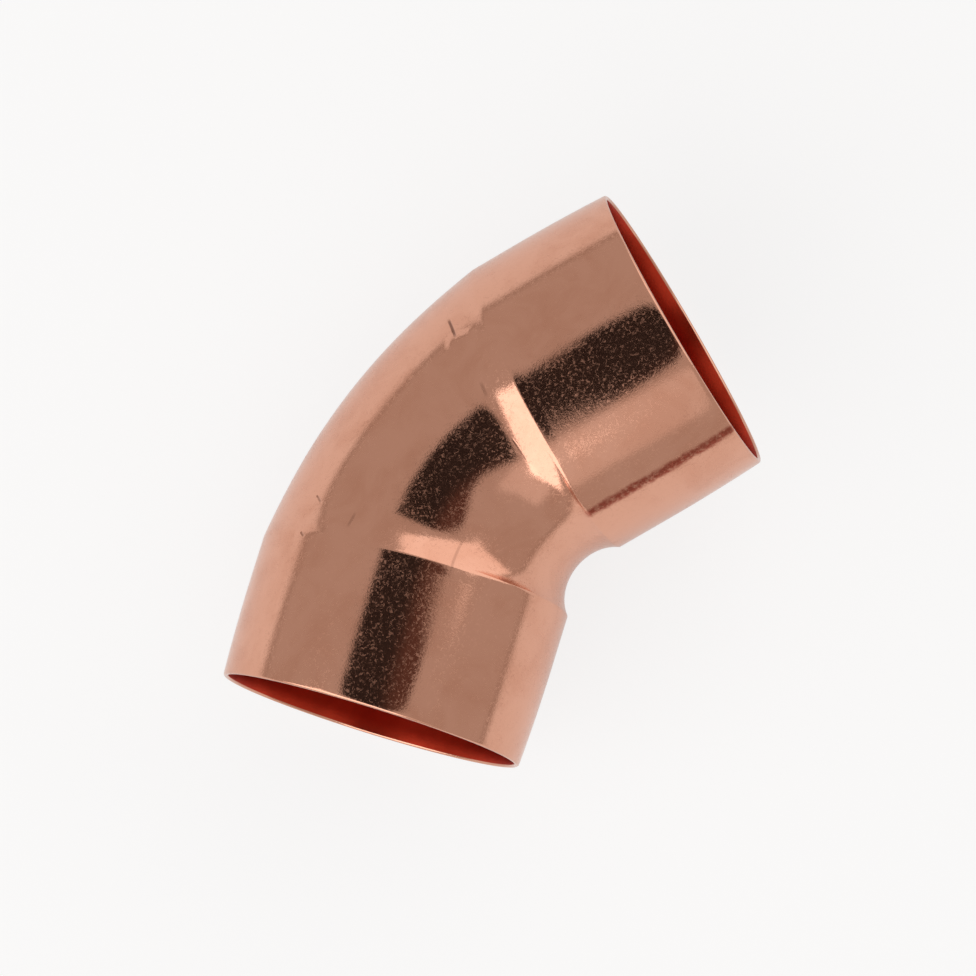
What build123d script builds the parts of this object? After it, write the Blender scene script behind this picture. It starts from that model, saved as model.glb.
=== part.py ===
from build123d import *
from math import copysign, cos, radians, sin, sqrt
import os

# Forty-five degree copper elbow: one piece of tube, bent, with both ends expanded into solder sockets.
# It lies as it comes to rest, on both sockets and the back of the bend.
# The origin is the centre of socket A's mouth. +X runs from socket B's mouth to socket A's, and +Z is up.
# The crotch of the bend faces -Y and a little up.
# Sizes are in millimetres and angles in degrees.

# The tube that is soldered in, and the socket round it
tube_diameter = 66.7
solder_gap = 0.08           # radial room for the solder
mouth_wall = 1.15           # wall of the socket at its mouth
socket_swell = 0.7          # how much further out the socket stands at its root than at its mouth
swell_depth = 24.0          # depth at which the socket has its full outside radius
socket_depth_a = 35.6       # mouth to root, along the socket's axis
socket_depth_b = 34.0
tube_stop = 0.4             # step at the end of the bore that the tube comes up against
root_tilt = 2.4             # the roots lean from square: shallow at the back of the bend, deep at the crotch

# The bend, in the plane of the axes
turn = 45.0                 # between the axes of the two sockets
centre_to_mouth = 60.9      # from the crossing of the axes to each mouth
back_rise = 5.5             # height of the back over a straight line between the sockets' roots
crotch_rise = 5.2           # height of the crotch over a straight line between the sockets' roots

# The bend, across the plane of the axes
shoulder_drop = 1.88        # how much lower the bend stands than the sockets, above and below
bend_wall = 1.25
shoulder_sweep = 9.5        # angle about the fan point over which the socket steps down to the bend

# Broken edges
rim_chamfer_outside = 0.4
rim_chamfer_inside = 0.25

# How far the elbow leans over on its back as it lies
rest_lean = 18.3

# Sections that carry the bend's skins
shoulder_steps = 4
bend_steps = 6

# Worked out from the sizes above
bore_radius = tube_diameter / 2 + solder_gap
mouth_radius = bore_radius + mouth_wall
socket_radius = mouth_radius + socket_swell
stop_radius = bore_radius - tube_stop
bend_half_height = socket_radius - shoulder_drop
half_turn = turn / 2
root_angle = half_turn + root_tilt
same_plane = 0.001          # how near a plane an edge lies to be counted as in it

# The elbow is drawn with the crossing of its axes at the origin, its back towards +Y and its crotch towards -Y.
axis_a = Vector(cos(radians(half_turn)), -sin(radians(half_turn)), 0)
axis_b = Vector(-cos(radians(half_turn)), -sin(radians(half_turn)), 0)
mouth_a = Plane(origin=axis_a * centre_to_mouth, z_dir=axis_a)
mouth_b = Plane(origin=axis_b * centre_to_mouth, z_dir=axis_b)


def ray(angle):
    """Direction in the plane of the axes, from the crotch to the back at this angle from the bisector."""
    return Vector(sin(radians(angle)), cos(radians(angle)), 0)


# The planes of the two roots meet at the fan point, beyond the crotch.
# Every section of the bend stands in a plane through that point, square to the plane of the axes.
root_a = axis_a * (centre_to_mouth - socket_depth_a)
root_b = axis_b * (centre_to_mouth - socket_depth_b)
between_roots = root_a - root_b
root_reach_a = between_roots.cross(ray(-root_angle)).Z / ray(root_angle).cross(ray(-root_angle)).Z
fan_point = root_a - ray(root_angle) * root_reach_a
root_reach_b = (root_b - fan_point).length


def section_plane(angle):
    """Plane through the fan point, with its X along the ray at this angle from the bisector."""
    return Plane(origin=fan_point, x_dir=ray(angle), z_dir=ray(angle).cross(Vector(0, 0, 1)))


def root_side(angle, radius, side):
    """From the fan point to a round wall at the root nearer this angle, at the back (1) or the crotch (-1)."""
    reach = root_reach_a if angle > 0 else root_reach_b
    return reach + side * radius / cos(radians(root_tilt))


def side_arc(side, rise):
    """Centre and radius of the arc that joins the two sockets' edges over this rise."""
    edge_a = fan_point + ray(root_angle) * root_side(root_angle, socket_radius, side)
    edge_b = fan_point + ray(-root_angle) * root_side(-root_angle, socket_radius, side)
    half_chord = (edge_a - edge_b).length / 2
    radius = (half_chord**2 + rise**2) / (2 * rise)
    outward = Vector(0, 0, 1).cross(edge_a - edge_b).normalized()
    return (edge_a + edge_b) / 2 - outward * (radius - rise), radius


def arc_reach(angle, centre, radius):
    """From the fan point along a ray to the far side of an arc."""
    offset = fan_point - centre
    along = offset.dot(ray(angle))
    return sqrt(radius**2 - offset.dot(offset) + along**2) - along


def shoulder_share(angle):
    """0 along the bend, then rising smoothly over the shoulder to 1 at a socket's root."""
    past_bend = abs(angle) - (root_angle - shoulder_sweep)
    return max(0.0, past_bend / shoulder_sweep) ** 2


def bend_section(angle, root_radius, inset):
    """Ellipse across the bend, set in from its outside, that meets a round wall at the root."""
    share = shoulder_share(angle)
    root = copysign(root_angle, angle)
    reaches = []
    for side, rise in ((-1, crotch_rise), (1, back_rise)):
        centre, radius = side_arc(side, rise)
        wall_radius = radius - side * inset
        step = root_side(root, root_radius, side) - arc_reach(root, centre, wall_radius)
        reaches.append(arc_reach(angle, centre, wall_radius) + step * share)
    crotch_reach, back_reach = reaches
    level = bend_half_height - inset
    half_height = level + (root_radius - level) * share
    middle = section_plane(angle) * Pos((crotch_reach + back_reach) / 2, 0, 0)
    return middle * Ellipse((back_reach - crotch_reach) / 2, half_height)


def bend_body(root_radius, inset):
    """Solid between the two roots, through sections that stand closer together in the shoulders."""
    bend_edge = root_angle - shoulder_sweep
    rising = [bend_edge + shoulder_sweep * step / shoulder_steps for step in range(1, shoulder_steps + 1)]
    level = [bend_edge * (2 * step / bend_steps - 1) for step in range(bend_steps + 1)]
    angles = [-angle for angle in reversed(rising)] + level + rising
    return loft([bend_section(angle, root_radius, inset) for angle in angles])


def socket_outside():
    """Half profile of a socket below its mouth: it swells, then runs straight."""
    swell = TangentArc((socket_radius, -swell_depth), (mouth_radius, 0), tangent=(0, 1))
    straight = Line((socket_radius, -centre_to_mouth), (socket_radius, -swell_depth))
    inner = Polyline((mouth_radius, 0), (0, 0), (0, -centre_to_mouth), (socket_radius, -centre_to_mouth))
    return make_face([swell, straight, inner])


def plain_round(radius):
    """Half profile of a straight round below a mouth."""
    return Pos(radius / 2, -centre_to_mouth / 2) * Rectangle(radius, centre_to_mouth)


def at_both_ends(profile):
    """Turn a profile about each socket's axis and end it at the socket's leaning root."""
    turned = revolve(Plane.XZ * profile, Axis.Z)
    end_a = split(mouth_a * turned, bisect_by=section_plane(root_angle), keep=Keep.TOP)
    end_b = split(mouth_b * turned, bisect_by=section_plane(-root_angle), keep=Keep.BOTTOM)
    return end_a + end_b


def bore(mouth, depth):
    """Straight bore for the tube, square at its end."""
    return mouth * Pos(0, 0, -depth / 2) * Cylinder(bore_radius, depth)


def edges_in(body, plane):
    """Edges of the body that lie in this plane."""
    samples = (0.0, 0.3, 0.6)
    return [
        edge
        for edge in body.edges()
        if all(abs(plane.to_local_coords(edge.position_at(sample)).Z) < same_plane for sample in samples)
    ]


def elbow():
    """Both sockets and the bend in one skin, with one waterway through it."""
    outside = bend_body(socket_radius, 0) + at_both_ends(socket_outside())
    waterway = bend_body(stop_radius, bend_wall) + at_both_ends(plain_round(stop_radius))
    body = outside - (waterway + bore(mouth_a, socket_depth_a) + bore(mouth_b, socket_depth_b))
    for mouth in (mouth_a, mouth_b):
        for pick, size in ((max, rim_chamfer_outside), (min, rim_chamfer_inside)):
            rim = pick(edges_in(body, mouth), key=lambda edge: edge.length)
            body = chamfer(rim, size)
    return body


def lay_down(body):
    """Bring the centre of socket A's mouth to the origin and lean the elbow over on its back."""
    return Rot(-rest_lean, 0, 0) * Pos(*-mouth_a.origin) * body


os.makedirs("parts", exist_ok=True)
export_step(lay_down(elbow()), os.path.join("parts", "elbow.step"))
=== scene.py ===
from math import copysign, cos, pi, radians, sin, sqrt, tan
import bmesh
import bpy
from mathutils import Matrix, Vector


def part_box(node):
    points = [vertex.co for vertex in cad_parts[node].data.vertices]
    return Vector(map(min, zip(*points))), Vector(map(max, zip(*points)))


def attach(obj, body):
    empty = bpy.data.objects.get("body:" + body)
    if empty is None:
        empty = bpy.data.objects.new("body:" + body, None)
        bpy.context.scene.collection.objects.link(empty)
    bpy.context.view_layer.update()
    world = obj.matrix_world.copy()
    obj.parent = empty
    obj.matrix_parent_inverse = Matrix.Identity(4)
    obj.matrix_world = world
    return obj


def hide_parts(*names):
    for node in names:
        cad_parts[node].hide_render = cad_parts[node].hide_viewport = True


# Copper forty-five degree elbow, lying on a white floor and seen from nearly straight above.
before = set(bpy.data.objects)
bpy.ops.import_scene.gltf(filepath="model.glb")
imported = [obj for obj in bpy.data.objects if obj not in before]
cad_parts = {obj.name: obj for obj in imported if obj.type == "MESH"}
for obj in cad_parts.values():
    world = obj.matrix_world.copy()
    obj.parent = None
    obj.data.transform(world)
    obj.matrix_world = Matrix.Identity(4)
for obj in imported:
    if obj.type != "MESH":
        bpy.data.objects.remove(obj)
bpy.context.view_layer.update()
bpy.ops.object.select_all(action="DESELECT")
mm = 0.001
print("frame loaded, CAD nodes:", len(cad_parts))


# Camera and directions

cameraSetup = {
    "place": Vector((-67.14, -15.44, 1017.2)) * mm,
    "aim": Vector((-55.23, 12.21, -7.57)) * mm,
    "imageUp": 38.55,        # the way up in the picture, in degrees from +X towards +Y
    "lens": 167.5,
    "seesTo": 20,
}


def placeCamera(setup):
    back = (setup["place"] - setup["aim"]).normalized()
    upwards = Vector((cos(radians(setup["imageUp"])), sin(radians(setup["imageUp"])), 0))
    right = upwards.cross(back).normalized()
    up = back.cross(right)
    bpy.ops.object.camera_add()
    camera = bpy.context.object
    camera.name = "photoCamera"
    turned = Matrix((right, up, back)).transposed().to_4x4()
    camera.matrix_world = Matrix.Translation(setup["place"]) @ turned
    camera.data.lens = setup["lens"]
    camera.data.clip_end = setup["seesTo"]
    bpy.context.scene.camera = camera
    return right, up, back


pictureRight, pictureUp, towardsCamera = placeCamera(cameraSetup)


def direction(off, turn):
    # off is the angle from the camera's own direction
    # turn goes round it, from the picture's right to its top
    sideways = pictureRight * cos(radians(turn)) + pictureUp * sin(radians(turn))
    return sideways * sin(radians(off)) + towardsCamera * cos(radians(off))


print("camera placed")


# Shader helpers

class Value:
    # A socket that takes part in sums: each operator adds one Math node.
    def __init__(self, tree, socket):
        self.tree = tree
        self.socket = socket

    def math(self, operation, first, second):
        node = self.tree.nodes.new("ShaderNodeMath")
        node.operation = operation
        for slot, term in zip(node.inputs, (first, second)):
            plug(self.tree, slot, term)
        return Value(self.tree, node.outputs[0])

    def __add__(self, other):
        return self.math("ADD", self, other)

    def __radd__(self, other):
        return self.math("ADD", other, self)

    def __sub__(self, other):
        return self.math("SUBTRACT", self, other)

    def __rsub__(self, other):
        return self.math("SUBTRACT", other, self)

    def __mul__(self, other):
        return self.math("MULTIPLY", self, other)

    def __rmul__(self, other):
        return self.math("MULTIPLY", other, self)

    def __abs__(self):
        return self.math("ABSOLUTE", self, 0.0)


def plug(tree, slot, term):
    if isinstance(term, Value):
        tree.links.new(term.socket, slot)
    else:
        slot.default_value = term


class Finish:
    # A material under construction.
    def __init__(self, name):
        self.material = bpy.data.materials.new(name)
        self.material.use_nodes = True
        self.tree = self.material.node_tree
        self.tree.nodes.clear()

    def node(self, kind, settings=None, inputs=None, output=0):
        node = self.tree.nodes.new("ShaderNode" + kind)
        for key, setting in (settings or {}).items():
            setattr(node, key, setting)
        for key, term in (inputs or {}).items():
            plug(self.tree, node.inputs[key], term)
        return Value(self.tree, node.outputs[output]) if node.outputs else None

    def objectPlace(self):
        return self.node("TexCoord", output="Object")

    def noise(self, place, size, detail=2.0, roughness=0.5, distortion=0.0):
        # size is the width of one lump of the pattern, in metres
        inputs = {"Vector": place, "Scale": 1 / size, "Detail": detail, "Roughness": roughness,
                  "Distortion": distortion}
        return self.node("TexNoise", {"noise_dimensions": "3D"}, inputs)

    def spread(self, value, low, high, newLow=0.0, newHigh=1.0):
        # smooth step from one range to another, held at its ends
        inputs = {"Value": value, "From Min": low, "From Max": high, "To Min": newLow, "To Max": newHigh}
        return self.node("MapRange", {"interpolation_type": "SMOOTHSTEP"}, inputs)

    def mixColour(self, share, first, second):
        # the Mix node's colours are its inputs 6 and 7 and its output 2
        return self.node("Mix", {"data_type": "RGBA"}, {0: share, 6: first, 7: second}, output=2)

    def alongWay(self, place, start, way):
        # how far a point lies from the start along a direction
        moved = self.node("VectorMath", {"operation": "SUBTRACT"}, {0: place, 1: start})
        return self.node("VectorMath", {"operation": "DOT_PRODUCT"}, {0: moved, 1: way}, output="Value")

    def finish(self, shader):
        self.node("OutputMaterial", inputs={"Surface": shader})
        return self.material


# Elbow: sizes and rings
# It is drawn in mm, with the crossing of its axes at the origin and its back towards +Y.

elbow = {
    "boreRadius": 33.43,
    "mouthRadius": 34.58,
    "socketRadius": 35.27,
    "swellDepth": 24.0,
    "socketDepthA": 35.6,
    "socketDepthB": 34.0,
    "tubeStop": 0.4,
    "rootTilt": 2.4,
    "turn": 45.0,
    "centreToMouth": 60.9,
    "backRise": 5.5,
    "crotchRise": 5.2,
    "shoulderDrop": 1.88,
    "shoulderSweep": 9.5,
    "bendWall": 1.25,
    "restLean": 18.3,
    "rimRound": 0.5,             # depth of the rounded rim
    "rootRound": 0.4,            # the last ring of a socket stands this far before its root
    "stopSlope": 0.1,            # how much deeper the tube stop is at its inner edge
    "insideRootGap": 1.4,        # angle between a root and the waterway's first ring
    "around": 192,               # edges in each ring
    "rimSteps": 8,
    "shoulderSteps": 14,
    "bendSteps": 20,
    "skinDepths": [1, 3, 6, 9, 12, 15, 18, 21, 24, 27],
    "skinBeforeRoot": [5, 3.2],
    "boreShares": [0.1, 0.3, 0.5, 0.7, 0.9, 0.99],
}
halfTurn = elbow["turn"] / 2
rootAngle = halfTurn + elbow["rootTilt"]
bendEdge = rootAngle - elbow["shoulderSweep"]
stopRadius = elbow["boreRadius"] - elbow["tubeStop"]
upAxis = Vector((0, 0, 1))


def ray(angle):
    # from the crotch to the back, at this angle from the bisector
    return Vector((sin(radians(angle)), cos(radians(angle)), 0))


def axis(end):
    # out of a mouth; end is 1 at socket A and -1 at socket B
    return Vector((end * cos(radians(halfTurn)), -sin(radians(halfTurn)), 0))


def onAxis(end, depth):
    # a point of a socket's axis below its mouth
    return axis(end) * (elbow["centreToMouth"] - depth)


def socketDepth(end):
    return elbow["socketDepthA"] if end > 0 else elbow["socketDepthB"]


def crossing(first, firstWay, second, secondWay):
    # where two lines in the plane of the axes meet
    between = second - first
    return first + firstWay * (between.cross(secondWay).z / firstWay.cross(secondWay).z)


rootA = onAxis(1, socketDepth(1))
rootB = onAxis(-1, socketDepth(-1))
fanPoint = crossing(rootA, ray(rootAngle), rootB, ray(-rootAngle))

# Socket A's mouth comes to the origin, and the elbow leans over on its back.
leanOver = Matrix.Rotation(radians(-elbow["restLean"]), 4, "X")
layDown = leanOver @ Matrix.Translation(-onAxis(1, 0) * mm)


def rootSide(angle, radius, side):
    # from the fan point to a round wall at the nearer root, at the back (1) or the crotch (-1)
    root = rootA if angle > 0 else rootB
    return (root - fanPoint).length + side * radius / cos(radians(elbow["rootTilt"]))


def sideArc(side):
    # centre and radius of the arc between the sockets, at the back or the crotch
    rise = elbow["backRise"] if side > 0 else elbow["crotchRise"]
    edgeA = fanPoint + ray(rootAngle) * rootSide(rootAngle, elbow["socketRadius"], side)
    edgeB = fanPoint + ray(-rootAngle) * rootSide(-rootAngle, elbow["socketRadius"], side)
    halfChord = (edgeA - edgeB).length / 2
    radius = (halfChord**2 + rise**2) / (2 * rise)
    outward = upAxis.cross(edgeA - edgeB).normalized()
    return (edgeA + edgeB) / 2 - outward * (radius - rise), radius


def arcReach(angle, centre, radius):
    # from the fan point along a ray to the far side of an arc
    offset = fanPoint - centre
    along = offset.dot(ray(angle))
    return sqrt(radius**2 - offset.dot(offset) + along**2) - along


def socketRing(end, depth, radius):
    # a ring is its centre, the angle of its plane, half its width along the ray and half its height
    return onAxis(end, depth), end * halfTurn, radius, radius


def bendRing(angle, rootRadius, inset):
    # ellipse across the bend, which widens over the shoulder to meet a round socket
    share = max(0.0, (abs(angle) - bendEdge) / elbow["shoulderSweep"])**2
    root = copysign(rootAngle, angle)
    reaches = []
    for side in (-1, 1):
        centre, radius = sideArc(side)
        wall = radius - side * inset
        step = rootSide(root, rootRadius, side) - arcReach(root, centre, wall)
        reaches.append(arcReach(angle, centre, wall) + step * share)
    crotch, back = reaches
    level = elbow["socketRadius"] - elbow["shoulderDrop"] - inset
    halfHeight = level + (rootRadius - level) * share
    return fanPoint + ray(angle) * (crotch + back) / 2, angle, (back - crotch) / 2, halfHeight


def swellRadius(depth):
    # the socket swells from its mouth to its full radius along a shallow arc
    short = max(0.0, elbow["swellDepth"] - depth)
    swell = elbow["socketRadius"] - elbow["mouthRadius"]
    arc = (elbow["swellDepth"]**2 + swell**2) / (2 * swell)
    return elbow["socketRadius"] - (arc - sqrt(arc**2 - short**2))


def rimRings(end):
    # from the outside of the mouth over its rounded rim into the bore
    halfWall = (elbow["mouthRadius"] - elbow["boreRadius"]) / 2
    rings = []
    for step in range(elbow["rimSteps"] + 1):
        angle = radians(90 - 180 * step / elbow["rimSteps"])
        depth = elbow["rimRound"] * (1 - cos(angle))
        rings.append(socketRing(end, depth, elbow["boreRadius"] + halfWall * (1 + sin(angle))))
    return rings


def socketSkin(end):
    # from just under the rim to the leaning root
    root = socketDepth(end)
    depths = elbow["skinDepths"] + [root - short for short in elbow["skinBeforeRoot"]]
    rings = [socketRing(end, depth, swellRadius(depth)) for depth in depths]
    radius = elbow["socketRadius"]
    leaning = radius / cos(radians(elbow["rootTilt"]))
    rings.append((onAxis(end, root - elbow["rootRound"]), end * rootAngle, leaning, radius))
    return rings


def bendSkin(rootRadius, inset, rootGap):
    # across the bend from root A to root B, closer together in the shoulders
    shoulder, steps = elbow["shoulderSteps"], elbow["bendSteps"]
    sweep = elbow["shoulderSweep"] - rootGap
    rising = [bendEdge + sweep * step / shoulder for step in range(1, shoulder + 1)]
    level = [bendEdge * (1 - 2 * step / steps) for step in range(steps + 1)]
    angles = rising[::-1] + level + [-angle for angle in rising]
    return [bendRing(angle, rootRadius, inset) for angle in angles]


def boreSkin(end):
    # the tube's socket and its stop
    root = socketDepth(end)
    rings = [socketRing(end, root * share, elbow["boreRadius"]) for share in elbow["boreShares"]]
    rings.append(socketRing(end, root, elbow["boreRadius"]))
    rings.append(socketRing(end, root + elbow["stopSlope"], stopRadius))
    return rings


def ringsInOrder():
    # once round the wall: over rim A, along the outside, over rim B and back through the waterway
    outside = socketSkin(1) + bendSkin(elbow["socketRadius"], 0, 0) + socketSkin(-1)[::-1]
    waterway = bendSkin(stopRadius, elbow["bendWall"], elbow["insideRootGap"])[::-1]
    shown = rimRings(1)[::-1] + outside + rimRings(-1)
    return shown + boreSkin(-1) + waterway + boreSkin(1)[::-1], len(shown) - 1


print("elbow's rings worked out")


# Copper

copperLook = {
    "skin": (0.78, 0.41, 0.29, 1),
    "skinDull": (0.66, 0.31, 0.205, 1),
    "stain": (0.34, 0.06, 0.035, 1),
    # colour that the handling marks are darkened towards
    "darkening": (0.20, 0.09, 0.06, 1),
    # the bore's two colours are painted reflection and shade: the deep red that copper takes from reflecting
    # itself many times inside the tube, in darker patches
    "bore": (0.66, 0.066, 0.03, 1),
    "borePaintedDeeperShade": (0.36, 0.025, 0.012, 1),
    "clouds": 12 * mm,            # dull clouds in the colour and the gloss
    "dullFrom": (0.38, 0.72),
    "dullShare": 0.55,
    "gloss": (0.06, 0.12),        # least and most roughness
    "glossFrom": (0.4, 0.7),
    "fleck": 0.7 * mm,            # width of the etched flecks, which are duller than the rest
    "fleckFrom": (0.5, 0.64),
    "fleckRoughness": 0.21,
    "grain": 0.45 * mm,           # width of the fine grain left by pickling
    "grainDepth": 0.016 * mm,
    "waves": 9 * mm,              # slow unevenness left by forming, least on the sockets
    "waveDepth": (0.012 * mm, 0.065 * mm),
    "bead": 0.035 * mm,           # faint ridge along each root
    "beadWidth": 2.2 * mm,
    "stainShare": 0.9,
    "boreClouds": 8 * mm,
    "boreDarkFrom": (0.3, 0.8),
    "boreDarkShare": 0.5,
    "boreRoughness": 0.3,
}
drawnLine = {
    "ends": ((-47.5, -8.9, 19.6), (-11.0, -23.1, 23.9)),    # on the crotch side of socket A, in mm
    "halfWidth": 1.9 * mm,
    "wander": 2.4 * mm,
    "wanderSize": 5 * mm,
    "ragged": 1.2 * mm,
    "raggedFrom": (0.32, 0.55),
    "leastShare": 0.35,
}
lineShape = {
    "core": 0.3,                 # share of a line's half width that has its full strength
    "fade": 2 * mm,              # length over which its ends fade
    "fadeShare": 0.35,           # and the most of its length that this may take
    "through": (-14 * mm, -10 * mm),    # a line has gone this far below the skin, so the far wall has none
}
bendFrom = (-3 * mm, 4 * mm)     # either side of a root
handlingMarks = [
    # start and end, half width and depth in mm, and how much darker its colour is made; a ridge has a depth
    # below 0
    ((-31.7, 42.0, 14.2), (-34.2, 37.4, 20.0), 0.4, 0.12, 0.85),   # crease where the back meets socket A
    ((-37.2, 38.6, 18.8), (-31.6, 34.2, 22.7), 3.2, -0.15, 0.0),   # and the metal pushed up beside it
    ((-38.4, 27.4, 26.2), (-40.4, 23.5, 27.4), 0.4, 0.05, 0.3),
    ((-43.8, 14.4, 28.1), (-45.7, 8.1, 27.1), 0.22, 0.03, 0.2),    # scratch on the shoulder of socket A
    ((-77.4, 30.8, 24.6), (-81.8, 30.0, 25.7), 0.5, 0.06, 0.3),    # dent beside the shoulder of socket B
    ((-80.2, 40.3, 16.4), (-81.0, 38.0, 18.9), 0.3, 0.10, 0.5),
    ((-88.7, 37.8, 19.1), (-89.0, 36.3, 20.6), 0.3, 0.10, 0.5),
    ((-68.1, 8.5, 27.2), (-75.4, 6.5, 30.2), 0.45, 0.04, 0.3),     # fold across the shoulder of socket B
]


def laidOnAxis(end, depth):
    # a point of a socket's axis in metres, as the elbow lies
    return layDown @ (onAxis(end, depth) * mm)


def laidAxis(end):
    return leanOver.to_3x3() @ axis(end)


def bendShare(finish, place):
    # 1 on the bend and its shoulders, 0 on the sockets
    share = 1.0
    for end in (1, -1):
        pastRoot = finish.alongWay(place, laidOnAxis(end, socketDepth(end)), -laidAxis(end))
        share = finish.spread(pastRoot, *bendFrom) * share
    return share


def rootBeads(finish, place, width):
    # 1 along the line where each socket ends
    beads = 0.0
    for end in (1, -1):
        pastRoot = finish.alongWay(place, laidOnAxis(end, socketDepth(end)), -laidAxis(end))
        beads = finish.spread(abs(pastRoot), 0.0, width, 1.0, 0.0) + beads
    return beads


def lineMask(finish, place, start, end, halfWidth, wander=0.0):
    # 1 along a straight line on the skin, fading to its sides and ends, on this side of the wall only
    first = Vector(start) * mm
    way = (Vector(end) * mm - first).normalized()
    length = (Vector(end) * mm - first).length
    outward = (first - laidOnAxis(1, elbow["centreToMouth"])).normalized()
    across = way.cross(outward).normalized()
    along = finish.alongWay(place, first, way)
    aside = abs(finish.alongWay(place, first, across) + wander)
    below = finish.alongWay(place, first, across.cross(way))
    fade = min(lineShape["fade"], length * lineShape["fadeShare"])
    line = finish.spread(aside, halfWidth * lineShape["core"], halfWidth, 1.0, 0.0)
    ends = finish.spread(along, 0.0, fade) * finish.spread(along, length - fade, length, 1.0, 0.0)
    return line * ends * finish.spread(below, *lineShape["through"])


def stainedLine(finish, place, line):
    # a ragged line of red oxide left by drawing the tube
    wander = (finish.noise(place, line["wanderSize"], detail=4, roughness=0.7) - 0.5) * line["wander"]
    ragged = finish.noise(place, line["ragged"], detail=4, roughness=0.7)
    share = finish.spread(ragged, *line["raggedFrom"], line["leastShare"], 1.0)
    return lineMask(finish, place, *line["ends"], line["halfWidth"], wander) * share


def marks(finish, place):
    # how deep the handling marks are at each point, in metres, and how much darker their colour is made
    depthSum = 0.0
    darkeningSum = 0.0
    for start, end, halfWidth, depth, darkening in handlingMarks:
        mask = lineMask(finish, place, start, end, halfWidth * mm)
        depthSum = mask * (depth * mm) + depthSum
        darkeningSum = mask * darkening + darkeningSum
    return depthSum, darkeningSum


def copperSkin(look):
    copper = Finish("copperSkin")
    place = copper.objectPlace()
    grain = copper.noise(place, look["grain"], detail=3, roughness=0.65)
    waves = copper.noise(place, look["waves"], detail=2, roughness=0.4, distortion=0.3)
    clouds = copper.noise(place, look["clouds"], detail=5, roughness=0.62, distortion=0.6)
    fleckNoise = copper.noise(place, look["fleck"], detail=3, roughness=0.7, distortion=0.8)
    flecks = copper.spread(fleckNoise, *look["fleckFrom"])
    markDepth, markDarkening = marks(copper, place)

    dull = copper.spread(clouds, *look["dullFrom"])
    colour = copper.mixColour(dull * look["dullShare"], look["skin"], look["skinDull"])
    stained = stainedLine(copper, place, drawnLine) * look["stainShare"]
    colour = copper.mixColour(stained, colour, look["stain"])
    # the handling marks are made darker in colour
    colour = copper.mixColour(markDarkening, colour, look["darkening"])
    rough = copper.spread(clouds, *look["glossFrom"], *look["gloss"]) + flecks * look["fleckRoughness"]

    leastWave, mostWave = look["waveDepth"]
    waveDepth = leastWave + bendShare(copper, place) * (mostWave - leastWave)
    relief = grain * look["grainDepth"] + rootBeads(copper, place, look["beadWidth"]) * look["bead"]
    relief = relief + waves * waveDepth - markDepth
    bump = copper.node("Bump", inputs={"Strength": 1.0, "Distance": 1.0, "Height": relief})
    shader = copper.node("BsdfPrincipled", inputs={
        "Base Color": colour, "Metallic": 1.0, "Roughness": rough, "Normal": bump})
    return copper.finish(shader)


def copperBorePaintedReflection(look):
    copper = Finish("copperBorePaintedReflection")
    place = copper.objectPlace()
    clouds = copper.noise(place, look["boreClouds"], detail=4, roughness=0.6)
    dark = copper.spread(clouds, *look["boreDarkFrom"]) * look["boreDarkShare"]
    # painted reflection and shade: the bore's colour is a deep red standing in for light bounced round
    # inside the copper tube, with clouds of darker painted shade
    colour = copper.mixColour(dark, look["bore"], look["borePaintedDeeperShade"])
    grain = copper.noise(place, look["grain"], detail=3)
    relief = grain * look["grainDepth"]
    bump = copper.node("Bump", inputs={"Strength": 1.0, "Distance": 1.0, "Height": relief})
    shader = copper.node("BsdfPrincipled", inputs={
        "Base Color": colour, "Metallic": 1.0, "Roughness": look["boreRoughness"], "Normal": bump})
    return copper.finish(shader)


skinFinish = copperSkin(copperLook)
borePaintedReflectionFinish = copperBorePaintedReflection(copperLook)
print("copper finishes made")


# Elbow: the piece

def selectRings(mesh, numbers):
    mesh.verts.ensure_lookup_table()
    for number in numbers:
        for vertex in mesh.verts[number * elbow["around"]:(number + 1) * elbow["around"]]:
            vertex.select = True
    mesh.select_flush(True)


def addRing(ring):
    # a circle as high as the ring, then drawn out along the ray to its width
    centre, angle, halfWidth, halfHeight = ring
    bpy.ops.mesh.primitive_circle_add(
        vertices=elbow["around"], radius=halfHeight * mm, location=centre * mm,
        rotation=(radians(90), 0, radians(90 - angle)))
    if halfWidth != halfHeight:
        bpy.ops.transform.resize(
            value=(halfWidth / halfHeight, 1, 1), center_override=centre * mm, orient_type="GLOBAL",
            orient_matrix_type="GLOBAL", orient_matrix=(ray(angle), upAxis, ray(angle).cross(upAxis)))


def makeElbow():
    rings, firstInside = ringsInOrder()
    bpy.ops.mesh.primitive_circle_add(radius=mm)    # only a start: its points are deleted
    piece = bpy.context.object
    piece.data.materials.append(skinFinish)
    piece.data.materials.append(borePaintedReflectionFinish)
    bpy.ops.object.mode_set(mode="EDIT")
    bpy.ops.mesh.delete(type="VERT")
    for number, ring in enumerate(rings):
        addRing(ring)
        if number > 0:
            selectRings(bmesh.from_edit_mesh(piece.data), (number - 1, number))
            bpy.ops.mesh.bridge_edge_loops()
    bpy.ops.mesh.select_all(action="DESELECT")
    selectRings(bmesh.from_edit_mesh(piece.data), (0, len(rings) - 1))
    bpy.ops.mesh.bridge_edge_loops()
    bpy.ops.mesh.select_all(action="SELECT")
    bpy.ops.mesh.normals_make_consistent(inside=False)
    bpy.ops.mesh.select_all(action="DESELECT")
    selectRings(bmesh.from_edit_mesh(piece.data), [0, *range(firstInside, len(rings))])
    piece.active_material_index = 1
    bpy.ops.object.material_slot_assign()
    bpy.ops.object.mode_set(mode="OBJECT")
    bpy.ops.object.shade_smooth()
    piece.matrix_world = layDown
    bpy.ops.object.transform_apply(location=True, rotation=True, scale=True)
    return piece


elbowPiece = makeElbow()
elbowPiece.name = "copperElbow"
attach(elbowPiece, "root")
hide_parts("elbow")
print("elbow made:", len(elbowPiece.data.polygons), "faces")


# Floor, dark card and lamps

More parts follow.
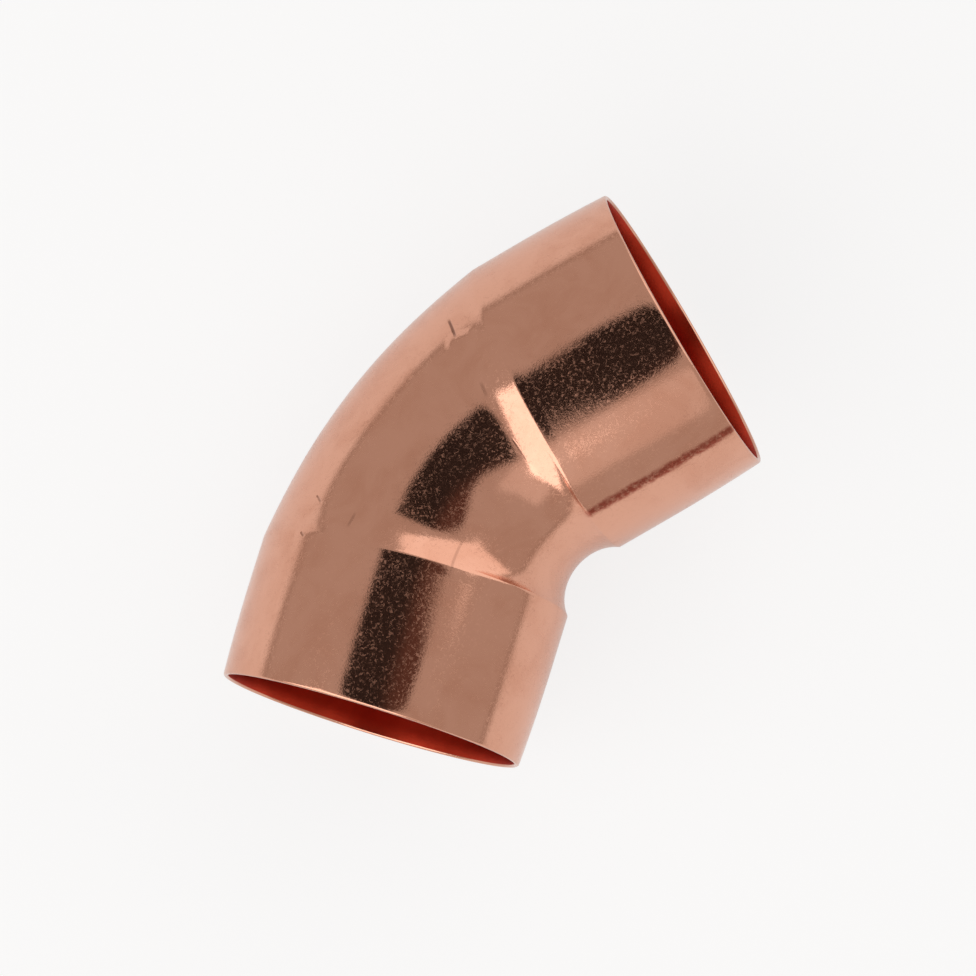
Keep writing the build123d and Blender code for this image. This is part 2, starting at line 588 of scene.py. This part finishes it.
studio = {
    "floorRadius": 3.0,
    "floorEdges": 96,
    "white": (0.99, 0.99, 0.99, 1),
    "paper": (0.9, 0.9, 0.9, 1),
    "room": (0.52, 0.475, 0.445, 1),
    "whiteTo": 0.45,             # reflected in the metal, the floor is white this far out
    "greyFrom": 0.9,             # and has faded to the room's grey here
    "cameraWhite": 0.8,          # share of plain white in what the camera sees of the floor
    "floorShine": 0.28,          # and in what the metal reflects of it
    "cardAway": 1.3,             # from the elbow to the dark card, which is behind the camera
    "cardCorners": [
        (25, 3), (11, 17), (-24, 26), (-26, 13), (-22, 1), (3, -23), (8, -15), (9, -7), (20, -4)],
    "cardDark": (0.05, 0.045, 0.045, 1),
    "cardBrown": (0.17, 0.10, 0.085, 1),
    "cardBrownFrom": 0.35,       # the card is quite brown this far to the right of its middle
}
lamps = {
    "keyLamp": {"off": 51, "turn": 226, "away": 1.2, "wide": 36, "high": 25, "radiance": 1.35},
    "sideLamp": {"off": 44, "turn": 286, "away": 1.3, "wide": 14, "high": 18, "radiance": 0.22},
    "fillLamp": {"off": 60, "turn": 50, "away": 1.2, "wide": 34, "high": 29, "radiance": 0.66},
}
elbowMiddle = cameraSetup["aim"]


def addFloor(setup):
    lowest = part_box("elbow")[0][2]
    bpy.ops.mesh.primitive_circle_add(
        vertices=setup["floorEdges"], radius=setup["floorRadius"], fill_type="NGON", location=(0, 0, lowest))
    floor = bpy.context.object
    floor.name = "floor"
    paper = Finish("whitePaper")
    camera, glossy, clear = [
        paper.node("LightPath", output=name)
        for name in ("Is Camera Ray", "Is Glossy Ray", "Is Transmission Ray")]
    distance = paper.node("VectorMath", {"operation": "LENGTH"}, {0: paper.objectPlace()}, output="Value")
    faded = paper.spread(distance, setup["whiteTo"], setup["greyFrom"]) * (1.0 - camera)
    lit = paper.node("BsdfDiffuse", inputs={"Color": paper.mixColour(faded, setup["paper"], setup["room"])})
    tone = paper.mixColour(faded, setup["white"], setup["room"])
    glowing = paper.node("Emission", inputs={"Color": tone, "Strength": 1.0})
    share = camera * setup["cameraWhite"] + (glossy + clear) * setup["floorShine"]
    floor.data.materials.append(paper.finish(paper.node("MixShader", inputs={0: share, 1: lit, 2: glowing})))


def addCard(setup):
    # a flat dark shape round the camera, with its corners given as angles to the right and upwards
    corners = setup["cardCorners"]
    middle = elbowMiddle + towardsCamera * setup["cardAway"]
    bpy.ops.mesh.primitive_circle_add(vertices=len(corners), radius=1, fill_type="NGON", location=middle)
    card = bpy.context.object
    card.name = "darkCard"
    for vertex, (rightwards, upwards) in zip(card.data.vertices, corners):
        shift = pictureRight * tan(radians(rightwards)) + pictureUp * tan(radians(upwards))
        vertex.co = shift * setup["cardAway"]
    felt = Finish("darkFelt")
    rightwards = felt.alongWay(felt.objectPlace(), Vector((0, 0, 0)), pictureRight)
    brown = felt.spread(rightwards, 0.0, setup["cardBrownFrom"])
    tone = felt.mixColour(brown, setup["cardDark"], setup["cardBrown"])
    card.data.materials.append(felt.finish(felt.node("BsdfDiffuse", inputs={"Color": tone})))
    card.visible_camera = False
    card.visible_shadow = False
    card.visible_diffuse = False


def addLamp(name, setup):
    # half its width and half its height are given as angles
    towards = direction(setup["off"], setup["turn"])
    place = elbowMiddle + towards * setup["away"]
    facing = towards.to_track_quat("Z", "Y").to_euler()
    bpy.ops.object.light_add(type="AREA", location=place, rotation=facing)
    lamp = bpy.context.object
    lamp.name = name
    lamp.data.shape = "RECTANGLE"
    lamp.data.size = 2 * setup["away"] * tan(radians(setup["wide"]))
    lamp.data.size_y = 2 * setup["away"] * tan(radians(setup["high"]))
    lamp.data.energy = setup["radiance"] * pi * lamp.data.size * lamp.data.size_y


def setRoom(setup):
    world = bpy.data.worlds.new("room")
    world.use_nodes = True
    bpy.context.scene.world = world
    world.node_tree.nodes["Background"].inputs["Color"].default_value = setup["room"]
    world.node_tree.nodes["Background"].inputs["Strength"].default_value = 1.0


addFloor(studio)
addCard(studio)
for lampName, lampSetup in lamps.items():
    addLamp(lampName, lampSetup)
setRoom(studio)
bpy.context.scene.view_settings.view_transform = "Standard"
print("studio ready")
